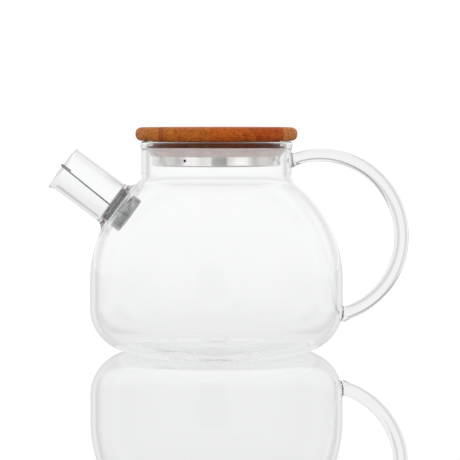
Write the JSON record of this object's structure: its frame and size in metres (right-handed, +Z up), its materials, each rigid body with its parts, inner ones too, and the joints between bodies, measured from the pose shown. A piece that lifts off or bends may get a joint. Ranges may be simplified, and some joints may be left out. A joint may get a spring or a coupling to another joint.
{
  "type": "glass teapot",
  "caption": "Clear glass teapot with a straight angled spout, ring-shaped glass rod handle, coiled wire spout filter and a lift-off bamboo lid with steel cup and silicone seal.",
  "frame": {"origin": "on the vessel's axis, on the plane of the flat ring that it stands on", "axes": "+Z up, along the vessel's axis; +X towards the handle; the spout leans towards -X"},
  "size_m": [0.1999, 0.14, 0.1241],
  "materials": {
    "clear_glass": "clear, fire-polished borosilicate",
    "filter_wire": "bright drawn stainless wire",
    "bamboo": "laminated bamboo, satin oil",
    "cup_steel": "drawn stainless steel, satin",
    "seal_silicone": "translucent milky silicone"
  },
  "bodies": {
    "vessel": {"glass_body": "clear_glass", "spout": "clear_glass", "handle": "clear_glass"},
    "filter": {"spout_filter": "filter_wire"},
    "lid": {"lid_stave_1": "bamboo", "lid_stave_2": "bamboo", "lid_stave_3": "bamboo", "lid_stave_4": "bamboo", "steel_cup": "cup_steel", "silicone_seal": "seal_silicone"}
  },
  "joints": [
    {"name": "lid_lift", "type": "slide", "parent": "vessel", "child": "lid", "axis": [0, 0, 1], "range_m": [0, 0.045]},
    {"name": "filter_pull", "type": "slide", "parent": "vessel", "child": "filter", "axis": [-0.8007, 0, 0.599], "range_m": [0, 0.055]}
  ]
}
